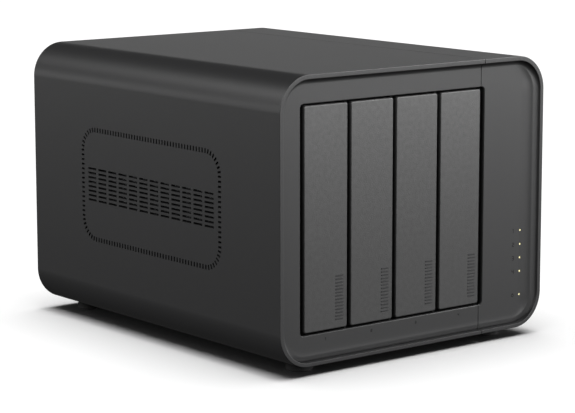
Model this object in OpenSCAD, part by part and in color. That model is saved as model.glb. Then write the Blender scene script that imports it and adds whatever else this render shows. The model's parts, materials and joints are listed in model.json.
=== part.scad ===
// Desktop network storage enclosure with four push-in drive trays.
// Frame: X to the right seen from the front, Y to the back, Z up.
// The origin lies on the floor, under the middle of the enclosure.

/* [Enclosure] */
// Width of the enclosure
body_w = 179; // [179:1:184]
// Depth of the enclosure
body_d = 222; // [222:1:230]
// Height of the enclosure without its feet
shell_h = 146; // [146:1:150]
// Height of the rubber feet
foot_h = 5; // [4:0.5:6]
// Radius of the four long outer corners
corner_r = 18.4; // [16:0.2:19]
// Wall thickness of the plastic shells
wall = 2.5; // [2.4:0.1:2.6]
// How far the front panel lies behind the front rim
panel_recess = 3; // [2.5:0.5:3]
// How far the rear panel lies behind the rear rim
rear_recess = 2; // [1.5:0.5:2]

/* [Drive trays] */
// Width of a tray face
tray_w = 27.8; // [27.8:0.1:28]
// Height of a tray face
tray_h = 113.7; // [113.5:0.1:114]
// Distance from one tray to the next
bay_pitch = 30.1; // [30:0.1:30.2]
// Left side of the first tray
bay_left = -72; // [-72.5:0.1:-72]
// Width of a 3.5 inch drive
drive_w = 26.1; // [26.1]
// Height of a 3.5 inch drive standing on its side
drive_h = 101.6; // [101.6]
// Length of a 3.5 inch drive
drive_l = 147; // [147]
// Travel of a tray's drive lock strip
lock_travel = 2.4; // [2:0.1:2.4]

/* [Cooling] */
// Size of the square rear fan
fan_size = 120; // [120]
// Depth of the rear fan
fan_depth = 25; // [20:1:25]
// Number of fan blades
blades = 9; // [7:1:11]
// Distance between the holes of the fan's grille
mesh_pitch = 6.4; // [6:0.2:7]

/* [Side vents] */
// Length of the ring of vent slots on each side
vent_l = 124; // [110:1:128]
// Height of the ring of vent slots on each side
vent_h = 60; // [56:1:64]
// Rows of long slots inside the ring
vent_rows = 8; // [6:1:10]
// Columns of long slots inside the ring
vent_columns = 12; // [10:1:13]

/* [Hidden] */
$fn = 48;
eps = 0.01;

// Outer faces of the enclosure
side_x = body_w / 2;
front_y = -body_d / 2;
back_y = body_d / 2;
bottom_z = foot_h;
top_z = foot_h + shell_h;

// Front and rear panels
panel_t = 2.5;
panel_y = front_y + panel_recess;
panel_back = panel_y + panel_t;
rear_t = 1.5;
rear_out = back_y - rear_recess;
rear_in = rear_out - rear_t;
crest_in = 5;
crest_y = panel_y - 0.6;

// The seam between the two shells
seam_x = 46.5;
seam_gap = 0.1;

// Side vents
slot_w = 1.1;
slot_l = 2.6;
row_pitch = 2.45;
ring_r = 12;
corner_slots = 8;
vent_z = bottom_z + 73.5;
field_pitch = (vent_l - 8) / vent_columns;
field_slot = field_pitch - 2;

// Drive bays
bays = 4;
gap = bay_pitch - tray_w;
tray_y = panel_y;
tray_z = 21.4;
mid_z = tray_z + tray_h / 2;
face_t = 2.8;
open_x0 = bay_left - 2.7;
open_x1 = bay_left + (bays - 1) * bay_pitch + tray_w + 2.9;
open_z0 = tray_z - 1.3;
open_z1 = tray_z + tray_h + 1.1;
drive_y0 = tray_y + 16;
drive_y1 = drive_y0 + drive_l;
drive_z0 = mid_z - drive_h / 2;
drive_z1 = mid_z + drive_h / 2;
drive_x = 0.35;
floor_t = 1;
floor_x = drive_x + drive_w + 0.05;
beam_z0 = tray_z + 0.3;
beam_z1 = tray_z + tray_h - 0.3;
beam_gap = 0.45;
stop_t = 2;
stop_y = drive_y0 - 1.5 - stop_t;

// Pins that hold a drive by its side holes
pin_r = 1.5;
pin_play = 0.1;
pin_depth = 2.45;
pin_x = floor_x - 6.35;
pin_ys = [drive_y1 - 28.5 - 101.6, drive_y1 - 28.5];
strip_t = 1.6;
web_t = 1.2;
strip_y0 = pin_ys[0] - 4.6;
strip_y1 = pin_ys[1] + 18;
strip_x0 = 2.3;
strip_x1 = 24.6;
strip_play = 0.3;

// Screw pattern of a 2.5 inch drive in the tray's floor
small_drive_y = 76.6;
small_drive_z = 61.72;
small_mid_y = drive_y1 - 14 - small_drive_y / 2;
small_mid_z = 62;

// Release latch of a tray
latch_pin_r = 1;
latch_bore_r = 1.05;
latch_boss_r = 2;
latch_x = 2.6;
latch_y = stop_y - 2.6;
latch_z0 = 30;
latch_z1 = 54;
latch_t = 1.4;
ear_t = 1.8;
hook_z = 34;

// Drive cage
cage_t = 1;
cage_x0 = open_x0 - 0.5;
cage_x1 = open_x1 + 0.2;
cage_y0 = panel_back + 0.7;
cage_y1 = 66;
guide_t = 2.5;
base_t = 0.8;
pad_w = 4;
rib_w = 1.3;
rib_h = 5;
post_h = 15;
cage_z0 = beam_z0 - 0.2 - guide_t - cage_t;
cage_z1 = beam_z1 + 0.2 + guide_t + cage_t;
flange_h = 9;
cage_screw_ys = [-80, 40];
stand_xs = [bay_left + tray_w / 2, bay_left + 3 * bay_pitch + tray_w / 2];
stand_ys = [-80, 40];

// Boards
board_t = 1.6;
plane_y = 62.4;
plane_holes = [[cage_x0 + 4.5, 29], [cage_x0 + 4.5, 127], [cage_x1 - 4, 29], [cage_x1 - 4, 71]];
plug_l = 6.5;
plug_z0 = 30;
plug_z1 = 72;
tongue = [84, 116];
board_x = 58;
board_face = board_x + board_t;
board_y0 = -30;
board_y1 = rear_in - 0.5;
board_z0 = 12;
board_z1 = 138;
standoff_ys = [-14, 54];
standoff_zs = [34, 122];
chip_t = 2.4;
sink_y = 52;
sink_z = 96;
sink_w = 44;
memory_y = -26;
memory_z0 = 59;
memory_l = 67.6;
ribbon_z = [33, 43];
fan_plug = [72, 80, 66, 74];

// Status lights
led_x = 76.5;
led_zs = [22.1, 34.9, 42.3, 49.6, 57.15];
led_r = 0.5;
led_board_y = panel_back + 3;
led_boss_zs = [28.5, 62.8];

// Fan
fan_x = -17;
fan_z = 78;
grille_t = 0.8;
fan_y1 = rear_in - grille_t;
fan_y0 = fan_y1 - fan_depth;
fan_hole = 105 / 2;
fan_corners = [for (x = [-1, 1], z = [-1, 1]) [x, z] * fan_hole];
fan_bore = 58;
hub_r = 19.5;
shaft_r = 1.5;
bearing_r = 1.55;
cable_r = 1.2;
cable_route = [[fan_x + fan_size / 2, 95, 40], [51, 95, 40], [51, 76, 40], [51, 76, 70]];

// Rear connectors: middle heights on the rear panel
port_y = rear_out + 0.4;
port_gap = 0.3;
button_x = 66;
button_z = 130;
button_r = 5;
button_travel = 1.5;
lan_zs = [94, 112];
usb_zs = [60, 76];
usb_c_z = 46;
hdmi_z = 33;
jack_z = 18;
lan_size = [13.5, 21, 16.2];
usb_size = [6.6, 14, 13.2];
usb_c_size = [3.3, 8, 9];
hdmi_size = [5.8, 12, 15];
jack_size = [11, 14, 9.6];

// Fasteners
screw_r = 1.5;
tap_r = 1.55;
clear_r = 1.7;
head_r = 2.8;
head_h = 1.6;
boss_r = 3.5;
boss_l = 12;
corner_hole_zs = [bottom_z + 10, top_z - 10];
middle_hole_zs = [bottom_z + 5.7, top_z - 5.7];
case_holes_left = concat([for (z = corner_hole_zs) [-side_x + 9, z]], [for (z = middle_hole_zs) [0, z]]);
case_holes_right = concat([for (z = corner_hole_zs) [side_x - 9, z]], [for (z = middle_hole_zs) [54, z]]);
case_holes = concat(case_holes_left, case_holes_right);
feet = [for (x = [-1, 1], y = [-1, 1]) [x * (side_x - 25), y * (back_y - 16)]];

// Colours
shell_grey = [0.24, 0.24, 0.245];
face_grey = [0.36, 0.36, 0.36];
inner_black = [0.08, 0.08, 0.085];
steel = [0.62, 0.63, 0.64];
bright = [0.78, 0.78, 0.8];
board_green = [0.06, 0.2, 0.14];
copper_tone = [0.7, 0.5, 0.25];

// Extrudes a drawing in X and Z along Y, from y0 to y1.
module along_y(y0, y1) {
    translate([0, y1, 0]) rotate([90, 0, 0]) linear_extrude(y1 - y0) children();
}

// Extrudes a drawing in Y and Z along X, from x0 to x1.
module along_x(x0, x1) {
    translate([x0, 0, 0]) rotate([90, 0, 90]) linear_extrude(x1 - x0) children();
}

module block(low, high) {
    translate(low) cube(high - low);
}

// A round bar or hole from one point along an axis, by its radius and length.
module rod_x(p, r, l) {
    translate(p) rotate([0, 90, 0]) cylinder(r = r, h = l);
}

module rod_y(p, r, l) {
    translate(p) rotate([-90, 0, 0]) cylinder(r = r, h = l);
}

module rod_z(p, r, l) {
    translate(p) cylinder(r = r, h = l);
}

// A rectangle with round corners, from its low corner to its high corner.
module round_rect(low, high, r) {
    translate([low[0] + r, low[1]]) square([high[0] - low[0] - 2 * r, high[1] - low[1]]);
    translate([low[0], low[1] + r]) square([high[0] - low[0], high[1] - low[1] - 2 * r]);
    for (x = [low[0] + r, high[0] - r], y = [low[1] + r, high[1] - r]) translate([x, y]) circle(r = r);
}

// The enclosure's outline in X and Z, drawn in from its outer face.
module outline(inset) {
    round_rect([-side_x + inset, bottom_z + inset], [side_x - inset, top_z - inset], corner_r - inset);
}

// Half of a drawing: the part that belongs to one shell.
module shell_side(x0, x1) {
    intersection() {
        children();
        translate([x0, 0]) square([x1 - x0, top_z + 1]);
    }
}

module ring_slot(y, z, turn) {
    translate([y, z]) rotate(turn) square([slot_w, slot_l], center = true);
}

// Vent slots of one side, drawn in Y and Z: a ring of short slots around rows of long ones.
module vent_slots() {
    run_y = vent_l / 2 - ring_r;
    run_z = vent_h / 2 - ring_r;
    count_y = floor(2 * run_y / row_pitch);
    count_z = floor(2 * run_z / row_pitch);
    for (i = [0 : count_y], s = [-1, 1])
        ring_slot(-run_y + 2 * run_y * i / count_y, s * vent_h / 2, 0);
    for (i = [0 : count_z], s = [-1, 1])
        ring_slot(s * vent_l / 2, -run_z + 2 * run_z * i / count_z, 90);
    for (i = [1 : corner_slots - 1], sy = [-1, 1], sz = [-1, 1]) {
        a = 90 * i / corner_slots;
        ring_slot(sy * (run_y + ring_r * cos(a)), sz * (run_z + ring_r * sin(a)), sy * sz * (a - 90));
    }
    for (row = [0 : vent_rows - 1], col = [0 : vent_columns - 1])
        translate([(col - (vent_columns - 1) / 2) * field_pitch, (row - (vent_rows - 1) / 2) * row_pitch])
            square([field_slot, slot_w], center = true);
}

module shell(x0, x1, holes) {
    difference() {
        union() {
            along_y(front_y, back_y) shell_side(x0, x1) difference() {
                outline(0);
                outline(wall);
            }
            along_y(crest_y, panel_y + 1) shell_side(x0, x1) difference() {
                outline(wall + 0.8);
                outline(crest_in);
            }
            along_y(panel_y, panel_back) shell_side(x0, x1) difference() {
                outline(wall / 2);
                round_rect([open_x0, open_z0], [open_x1, open_z1], 2);
            }
            for (p = holes) rod_y([p[0], rear_in - boss_l, p[1]], boss_r, boss_l);
        }
        for (p = holes) rod_y([p[0], rear_in - boss_l + 2, p[1]], tap_r, boss_l);
    }
}

module left_shell() {
    color(shell_grey) difference() {
        union() {
            shell(-side_x, seam_x - seam_gap, case_holes_left);
            for (x = stand_xs, y = stand_ys) rod_z([x, y, bottom_z + 1], boss_r, cage_z0 - bottom_z - 1);
        }
        for (x = stand_xs, y = stand_ys) rod_z([x, y, bottom_z + wall], tap_r, cage_z0);
        along_x(-side_x - 1, -side_x + wall + 1) translate([0, vent_z]) vent_slots();
    }
}

module right_shell() {
    color(shell_grey) difference() {
        union() {
            shell(seam_x + seam_gap, side_x, case_holes_right);
            for (z = led_boss_zs) rod_y([led_x, panel_back - 1, z], 2.5, led_board_y - panel_back + 1);
        }
        for (z = led_boss_zs) rod_y([led_x, panel_back, z], tap_r - 0.5, 10);
        for (z = led_zs) rod_y([led_x, panel_y - 1, z], led_r + 0.1, panel_t + 2);
        along_x(side_x - wall - 1, side_x + 1) translate([0, vent_z]) vent_slots();
    }
}

// The opening in the rear panel for one connector.
module port_cut(x0, z, size) {
    translate([x0 - port_gap, z - size[2] / 2 - port_gap]) square([size[0], size[2]] + 2 * port_gap * [1, 1]);
}

module rear_panel() {
    lock_slot = [3, 7];
    color(shell_grey) along_y(rear_in, rear_out) difference() {
        outline(wall + 0.2);
        translate([fan_x, fan_z]) circle(r = fan_bore - 1);
        translate([fan_x, fan_z]) for (p = fan_corners) translate(p) circle(r = 2.4);
        for (p = case_holes) translate(p) circle(r = clear_r);
        for (z = lan_zs) port_cut(board_face, z, lan_size);
        for (z = usb_zs) port_cut(board_face, z, usb_size);
        port_cut(board_face, usb_c_z, usb_c_size);
        port_cut(board_face, hdmi_z, hdmi_size);
        port_cut(board_face, jack_z, jack_size);
        translate([button_x, button_z]) circle(r = button_r + 0.2);
        translate([-81.5, 50]) translate(-lock_slot / 2) square(lock_slot);
    }
}

module fan_grille() {
    reach = fan_bore - 1;
    steps = ceil(reach / mesh_pitch) + 1;
    row_step = mesh_pitch * sqrt(3) / 2;
    hole_r = mesh_pitch / sqrt(3) - 0.6;
    color(steel) along_y(rear_in - grille_t, rear_in) translate([fan_x, fan_z]) difference() {
        round_rect([-59, -59], [59, 59], 4);
        for (p = fan_corners) translate(p) circle(r = 2.4);
        for (j = [-steps - 2 : steps + 2], i = [-steps : steps]) {
            p = [(i + (j % 2 == 0 ? 0 : 0.5)) * mesh_pitch, j * row_step];
            if (norm(p) < reach - mesh_pitch / 2) translate(p) rotate(30) circle(r = hole_r, $fn = 6);
        }
    }
}

module rubber_feet() {
    color(inner_black) for (p = feet) translate(p) rotate_extrude() {
        square([6, foot_h]);
        translate([0, 1]) square([7, foot_h - 1]);
        translate([6, 1]) circle(r = 1);
    }
}

// Sheet steel cage around the four bays.
module vent_grid(y0, z0, columns, rows, pitch) {
    for (i = [0 : columns - 1], j = [0 : rows - 1])
        translate([y0 + i * pitch, z0 + j * pitch]) circle(r = 6, $fn = 6);
}

module cage_wall(x0, cut_notch) {
    along_x(x0, x0 + cage_t) difference() {
        translate([cage_y0, cage_z0 + cage_t]) square([cage_y1 - cage_y0, cage_z1 - cage_z0 - 2 * cage_t]);
        vent_grid(-84, 46, 9, 5, 15);
        for (y = cage_screw_ys, z = [cage_z0 + 5, cage_z1 - 5]) translate([y, z]) circle(r = tap_r);
        if (cut_notch) translate([plane_y - 5, tongue[0] - 6]) square([20, tongue[1] - tongue[0] + 12]);
    }
}

// Upright flange behind the backplane, with a tapped hole near each end.
module plane_flange(x0, x1, z1, holes) {
    along_y(plane_y + board_t, plane_y + board_t + cage_t) difference() {
        translate([x0, 24]) square([x1 - x0, z1 - 24]);
        for (p = holes) translate(p) circle(r = tap_r);
    }
}

module cage_left_wall() {
    color(steel) {
        cage_wall(cage_x0 - cage_t, false);
        plane_flange(cage_x0 - cage_t, cage_x0 + 8, 132, plane_holes);
    }
}

module cage_right_wall() {
    color(steel) {
        cage_wall(cage_x1, true);
        plane_flange(cage_x1 - 7, cage_x1 + cage_t, 76, plane_holes);
    }
}

// Top and bottom plates with a flange down each side; flip turns the bottom plate into the top one.
module cage_plate(flip) {
    z0 = flip ? cage_z1 - cage_t : cage_z0;
    f0 = flip ? cage_z1 - flange_h : cage_z0;
    screw_z = flip ? cage_z1 - 5 : cage_z0 + 5;
    x0 = cage_x0 - cage_t;
    x1 = cage_x1 + cage_t;
    difference() {
        union() {
            block([x0 - cage_t, cage_y0, z0], [x1 + cage_t, cage_y1, z0 + cage_t]);
            block([x0 - cage_t, cage_y0, f0], [x0, cage_y1, f0 + flange_h]);
            block([x1, cage_y0, f0], [x1 + cage_t, cage_y1, f0 + flange_h]);
        }
        for (y = cage_screw_ys) rod_x([x0 - 5, y, screw_z], clear_r, x1 - x0 + 10);
        if (!flip) for (x = stand_xs, y = stand_ys) rod_z([x, y, z0 - 1], clear_r, 3);
    }
}

module cage_top_plate() {
    color(steel) cage_plate(true);
}

module cage_bottom_plate() {
    color(steel) cage_plate(false);
}

// Moulded guide with a pair of runners for each tray and a rib between trays.
module bay_guide() {
    z0 = cage_z0 + cage_t;
    pad_z = beam_z0 - 0.2;
    block([cage_x0 + 0.2, cage_y0, z0], [cage_x1 - 0.2, drive_y1, z0 + base_t]);
    for (i = [0 : bays - 1], x = [1, tray_w - 1 - pad_w]) {
        pad_x = bay_left + i * bay_pitch + x;
        block([pad_x, cage_y0 + 4, z0], [pad_x + pad_w, drive_y1, pad_z]);
    }
    for (i = [0 : bays]) guide_rib(i, drive_y1, rib_h);
}

// An upright rib in the gap before tray i, from the cage's front edge to y1.
module guide_rib(i, y1, height) {
    x = bay_left + i * bay_pitch - gap / 2;
    z0 = cage_z0 + cage_t;
    block([x - rib_w / 2, cage_y0, z0], [x + rib_w / 2, y1, z0 + height]);
}

module lower_bay_guide() {
    color(inner_black) difference() {
        union() {
            bay_guide();
            for (i = [0 : bays - 1]) guide_rib(i, cage_y0 + 2, post_h);
        }
        for (x = stand_xs, y = stand_ys) rod_z([x, y, cage_z0], head_r + 0.4, 4);
    }
}

module upper_bay_guide() {
    color(inner_black) translate([0, 0, 2 * mid_z]) mirror([0, 0, 1]) bay_guide();
}

// Board behind the drives, with cooling windows and four drive connectors.

module backplane_board() {
    x0 = cage_x0 + 0.4;
    x1 = cage_x1 - 0.4;
    color(board_green) along_y(plane_y, plane_y + board_t) difference() {
        union() {
            translate([x0, 24.6]) square([x1 - x0, 107]);
            translate([x1 - 1, tongue[0]]) square([7, tongue[1] - tongue[0]]);
        }
        for (i = [0 : bays - 1], z = [80, 97, 114])
            translate([bay_left + i * bay_pitch + 5, z]) square([18, 14]);
        for (p = plane_holes) translate(p) circle(r = clear_r);
    }
}

module sata_connectors() {
    color(inner_black) for (i = [0 : bays - 1]) {
        x = bay_left + i * bay_pitch + 17.5;
        difference() {
            block([x, plane_y - plug_l, plug_z0], [x + 5.5, plane_y, plug_z1]);
            block([x + 1, plane_y - plug_l - 1, plug_z0 + 2], [x + 2.6, plane_y - 1.5, plug_z1 - 2]);
        }
    }
}

// Upright main board on the right side of the cage.
module main_board() {
    color(board_green) along_x(board_x, board_face) difference() {
        translate([board_y0, board_z0]) square([board_y1 - board_y0, board_z1 - board_z0]);
        for (y = standoff_ys, z = standoff_zs) translate([y, z]) circle(r = clear_r);
    }
}

module link_socket() {
    color(inner_black) difference() {
        block([cage_x1 + 2.4, plane_y - 3, tongue[0] - 4], [board_x, plane_y + board_t + 3, tongue[1] + 4]);
        block([cage_x1, plane_y - 0.1, tongue[0] - 0.5],
            [cage_x1 + 6.2, plane_y + board_t + 0.1, tongue[1] + 0.5]);
    }
}

module processor() {
    half = 14;
    color(inner_black) block([board_face, sink_y - half, sink_z - half],
        [board_face + chip_t, sink_y + half, sink_z + half]);
}

module heat_sink() {
    fins = 9;
    base = 3;
    fin_t = 1.4;
    fin_h = 11;
    color(bright) translate([board_face + chip_t, sink_y - sink_w / 2, sink_z - sink_w / 2]) {
        cube([base, sink_w, sink_w]);
        for (i = [0 : fins - 1]) translate([base - eps, 0, i * (sink_w - fin_t) / (fins - 1)])
            cube([fin_h + eps, sink_w, fin_t]);
    }
}

module memory_socket() {
    color(inner_black) translate([board_face, memory_y, memory_z0]) difference() {
        block([0, 0, -2], [5, 6, memory_l + 2]);
        block([2.1, 2, -0.2], [3.5, 7, memory_l + 0.2]);
    }
}

module memory_module() {
    color(board_green) translate([board_face + 2.2, memory_y + 2.1, memory_z0]) cube([1.2, 29.9, memory_l]);
}

module coin_cell() {
    color(bright) rod_x([board_face, 50, 52], 10, 3.2);
}

module board_components() {
    color(inner_black) {
        for (z = [30, 41, 52, 63]) rod_x([board_face, 74, z], 4, 9);
        for (z = lan_zs) block([board_face, 80, z - 4], [board_face + 1.2, 87, z + 4]);
        block([board_face, 18, 40], [board_face + 1.5, 34, 56]);
    }
}

module board_headers() {
    color([0.85, 0.84, 0.8]) {
        block([board_face, -27, ribbon_z[0] - 1], [board_face + 5, -21, ribbon_z[1] + 1]);
        block([board_x - 5, fan_plug[0], fan_plug[2]], [board_x, fan_plug[1], fan_plug[3]]);
    }
}

// Status lights behind the front panel.
module led_board() {
    color(board_green) along_y(led_board_y, led_board_y + board_t) difference() {
        translate([led_x - 6, 17]) square([12, 51]);
        for (z = led_boss_zs) translate([led_x, z]) circle(r = 1.2);
    }
}

module status_leds() {
    color([0.95, 0.93, 0.8]) for (z = led_zs)
        block([led_x - 0.8, led_board_y - 0.8, z - 0.6], [led_x + 0.8, led_board_y, z + 0.6]);
}

module led_pipes() {
    color([0.93, 0.92, 0.78]) for (z = led_zs) rod_y([led_x, panel_y, z], led_r, led_board_y - 0.8 - panel_y);
}

module led_ribbon() {
    y0 = led_board_y + board_t;
    color([0.8, 0.8, 0.82]) translate([0, 0, ribbon_z[0]]) linear_extrude(ribbon_z[1] - ribbon_z[0]) polygon([
        [led_x, y0], [led_x + 0.8, y0], [led_x + 0.8, -50], [board_face + 5.8, -23.5],
        [board_face + 5, -23.5], [board_face + 5, -24.5], [led_x, -50.4]]);
}

// Connectors on the main board's rear edge.
module housing(z, size) {
    block([board_face, port_y - size[1], z - size[2] / 2], [board_face + size[0], port_y, z + size[2] / 2]);
}

module network_jacks() {
    mouth = [8.4, 16, 11.8];
    x0 = board_face + 2.4;
    color(bright) for (z = lan_zs) difference() {
        housing(z, lan_size);
        block([x0, port_y - mouth[1], z - mouth[2] / 2], [x0 + mouth[0], port_y + 1, z + mouth[2] / 2]);
        block([board_face + 1, port_y - mouth[1], z - 3], [x0 + 1, port_y + 1, z + 3]);
    }
}

// A metal shell with a contact tongue inside.
module tongue_port(z, size, skin, tongue_t) {
    x_mid = board_face + size[0] / 2;
    difference() {
        housing(z, size);
        block([board_face + skin, port_y - size[1] + 2, z - size[2] / 2 + skin],
            [board_face + size[0] - skin, port_y + 1, z + size[2] / 2 - skin]);
    }
    block([x_mid - tongue_t / 2, port_y - size[1] + 1, z - size[2] / 2 + skin + 0.8],
        [x_mid + tongue_t / 2, port_y - 1, z + size[2] / 2 - skin - 0.8]);
}

module usb_ports() {
    color(bright) for (z = usb_zs) tongue_port(z, usb_size, 0.5, 2);
}

module usb_c_port() {
    color(bright) tongue_port(usb_c_z, usb_c_size, 0.4, 0.7);
}

module hdmi_port() {
    color(bright) tongue_port(hdmi_z, hdmi_size, 0.5, 2);
}

module power_jack() {
    x_mid = board_face + jack_size[0] / 2;
    color(inner_black) {
        difference() {
            housing(jack_z, jack_size);
            rod_y([x_mid, port_y - 10, jack_z], 3.2, 11);
        }
        rod_y([x_mid, port_y - 11, jack_z], 1.25, 10);
    }
}

module power_button() {
    flange_y = rear_in - 0.2;
    color(inner_black) {
        rod_y([button_x, flange_y - 1.2, button_z], button_r + 1.4, 1.2);
        rod_y([button_x, flange_y - eps, button_z], button_r, rear_out + 1.2 - flange_y);
        rod_y([button_x, flange_y - 5, button_z], 1.5, 4);
    }
}

module power_switch() {
    y1 = rear_in - 0.2 - 5 - button_travel - 0.2;
    color(inner_black) block([board_face, y1 - 6, button_z - 4], [button_x + 3.5, y1, button_z + 4]);
}

// Rear fan: square frame, stator, and the rotor that turns in it.
module fan_frame() {
    flange_t = 4;
    half = fan_size / 2;
    base_y = fan_y1 - 3.5;
    color(inner_black) translate([fan_x, 0, fan_z]) difference() {
        union() {
            for (y = [fan_y0, fan_y1 - flange_t]) along_y(y, y + flange_t) difference() {
                round_rect([-half, -half], [half, half], 4);
                circle(r = fan_bore);
                for (p = fan_corners) translate(p) circle(r = 2.25);
            }
            along_y(fan_y0 + 1, fan_y1 - 1) difference() {
                circle(r = half - 0.2);
                circle(r = fan_bore);
            }
            rod_y([0, base_y, 0], hub_r + 0.5, 3.5);
            rod_y([0, fan_y0 + 4, 0], 4, fan_depth - 4);
            for (a = [45 : 90 : 315]) rotate([0, a, 0])
                block([hub_r - 2, base_y, -2], [fan_bore + 1, base_y + 3.5, 2]);
        }
        rod_y([0, fan_y0, 0], bearing_r, fan_depth - 1.5);
    }
}

module fan_stator() {
    color(copper_tone) translate([fan_x, 0, fan_z]) difference() {
        rod_y([0, fan_y0 + 5, 0], 15, 12);
        rod_y([0, fan_y0, 0], 4.05, fan_depth);
    }
}

module fan_rotor() {
    cup_y1 = fan_y1 - 4.2;
    blade_y0 = fan_y0 + 2;
    blade_y1 = cup_y1 - 1;
    tip_r = fan_bore - 1.5;
    color(inner_black) translate([fan_x, 0, fan_z]) {
        difference() {
            rod_y([0, fan_y0 + 1, 0], hub_r, cup_y1 - fan_y0 - 1);
            rod_y([0, fan_y0 + 2.5, 0], hub_r - 1.5, fan_depth);
        }
        rod_y([0, fan_y0 + 1, 0], shaft_r, fan_depth - 3.5);
        intersection() {
            difference() {
                rod_y([0, blade_y0, 0], tip_r, blade_y1 - blade_y0);
                rod_y([0, blade_y0 - 1, 0], hub_r - 0.5, fan_depth);
            }
            union() for (i = [0 : blades - 1]) rotate([0, i * 360 / blades, 0])
                translate([0, (blade_y0 + blade_y1) / 2, 0]) rotate([38, 0, 0])
                    block([hub_r - 1, -0.7, -13], [tip_r + 2, 0.7, 13]);
        }
    }
}

// Lead from the fan to the board, held by the cage and the fan.
module fan_cable() {
    color(inner_black) {
        rod_x(cable_route[0], cable_r, cable_route[1][0] - cable_route[0][0]);
        rod_y(cable_route[2], cable_r, cable_route[1][1] - cable_route[2][1]);
        rod_z(cable_route[2], cable_r, cable_route[3][2] - cable_route[2][2]);
        rod_x(cable_route[3], cable_r, board_x - 5 - cable_route[3][0]);
        for (i = [1 : 3]) translate(cable_route[i]) sphere(r = cable_r);
    }
}

module fan_screws() {
    color(steel) for (p = fan_corners) translate([fan_x + p[0], 0, fan_z + p[1]]) {
        rod_y([0, fan_y1 - 8, 0], 2.2, rear_out - fan_y1 + 8);
        rod_y([0, rear_out, 0], 4, 1.6);
    }
}

module case_screws() {
    color(steel) for (p = case_holes) translate([p[0], 0, p[1]]) {
        rod_y([0, rear_out - 9, 0], screw_r, 9);
        rod_y([0, rear_out, 0], head_r, head_h);
    }
}

module cage_screws() {
    left = cage_x0 - 2 * cage_t;
    right = cage_x1 + 2 * cage_t;
    color(steel) {
        for (y = cage_screw_ys, z = [cage_z0 + 5, cage_z1 - 5]) {
            rod_x([left, y, z], screw_r, 2 * cage_t);
            rod_x([left - head_h, y, z], head_r, head_h);
            rod_x([right - 2 * cage_t, y, z], screw_r, 2 * cage_t);
            rod_x([right, y, z], head_r, head_h);
        }
        for (x = stand_xs, y = stand_ys) {
            rod_z([x, y, cage_z0 - 7], screw_r, 7 + cage_t);
            rod_z([x, y, cage_z0 + cage_t], head_r, 1.4);
        }
    }
}

module board_standoffs() {
    x0 = cage_x1 + cage_t;
    color(copper_tone) for (y = standoff_ys, z = standoff_zs) difference() {
        rod_x([x0, y, z], 2.6, board_x - x0);
        rod_x([x0 + 1.5, y, z], tap_r, board_x);
    }
}

module board_screws() {
    color(steel) {
        for (y = standoff_ys, z = standoff_zs) {
            rod_x([board_x - 5, y, z], screw_r, 5 + board_t);
            rod_x([board_face, y, z], head_r, head_h);
        }
        for (z = led_boss_zs) {
            rod_y([led_x, led_board_y - 2.5, z], tap_r - 0.55, 2.5 + board_t);
            rod_y([led_x, led_board_y + board_t, z], 1.9, 1.2);
        }
        for (p = plane_holes) {
            rod_y([p[0], plane_y - head_h, p[1]], head_r, head_h);
            rod_y([p[0], plane_y, p[1]], screw_r, board_t + cage_t);
        }
    }
}

// One tray, with its floor on the right and the drive going in from the left.
module tray(i) {
    x1 = floor_x + floor_t;
    color(inner_black) translate([bay_left + i * bay_pitch, 0, 0]) difference() {
        union() {
            along_x(floor_x, x1) difference() {
                translate([tray_y + face_t, beam_z0]) square([drive_y1 - tray_y - face_t, beam_z1 - beam_z0]);
                for (y = [-74, -12, 12], z = [36, 58, 80, 102]) translate([y, z]) square([16, 18]);
            }
            block([0.4, tray_y + face_t, beam_z0], [x1, drive_y1, drive_z0 - beam_gap]);
            block([0.4, tray_y + face_t, drive_z1 + beam_gap], [x1, drive_y1, beam_z1]);
            block([0.4, stop_y, beam_z0], [x1, stop_y + stop_t, beam_z1]);
            for (y = pin_ys) rod_z([pin_x, y, drive_z0 - 2], pin_r, 2 + pin_depth);
            for (z = [latch_z0 - ear_t - 0.2, latch_z1 + 0.2]) {
                rod_z([latch_x, latch_y, z], latch_boss_r, ear_t);
                block([latch_x - latch_boss_r, latch_y, z],
                    [latch_x + latch_boss_r, stop_y + 0.5, z + ear_t]);
            }
        }
        rod_z([latch_x, latch_y, latch_z0 - ear_t - 1], latch_bore_r, latch_z1 - latch_z0 + 2 * ear_t + 2);
        block([strip_x0 - strip_play, strip_y0 - strip_play, drive_z1 + beam_gap + web_t],
            [strip_x1 + strip_play, strip_y1 + strip_play, beam_z1 + 1]);
        for (y = pin_ys) rod_z([pin_x, y, drive_z1 - 1], pin_r + pin_play, 5);
        for (y = [-0.5, 0.5] * small_drive_y, z = [-0.5, 0.5] * small_drive_z)
            rod_x([floor_x - 1, small_mid_y + y, small_mid_z + z], 1.6, 3);
    }
}

module tray_face(i) {
    color(face_grey) translate([bay_left + i * bay_pitch, 0, 0])
        along_y(tray_y, tray_y + face_t) round_rect([0, tray_z], [tray_w, tray_z + tray_h], 0.8);
}

// Lever on an upright pin: pressing its pad to the right frees the tray.
module tray_latch(i) {
    pad_y = tray_y + face_t + 0.6;
    color(inner_black) translate([bay_left + i * bay_pitch, 0, 0]) {
        rod_z([latch_x, latch_y, latch_z0 - ear_t], latch_pin_r, latch_z1 - latch_z0 + 2 * ear_t);
        rod_z([latch_x, latch_y, latch_z0], latch_boss_r, latch_z1 - latch_z0);
        block([latch_x - latch_boss_r, pad_y, latch_z0],
            [latch_x - latch_boss_r + latch_t, latch_y, latch_z1]);
        block([-1.2, pad_y, hook_z + 1], [latch_x - latch_boss_r, pad_y + 3.2, latch_z1]);
        block([-0.4, cage_y0 + 2.3, latch_z0], [latch_x - latch_boss_r, cage_y0 + 3.6, hook_z + 1]);
    }
}

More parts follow.
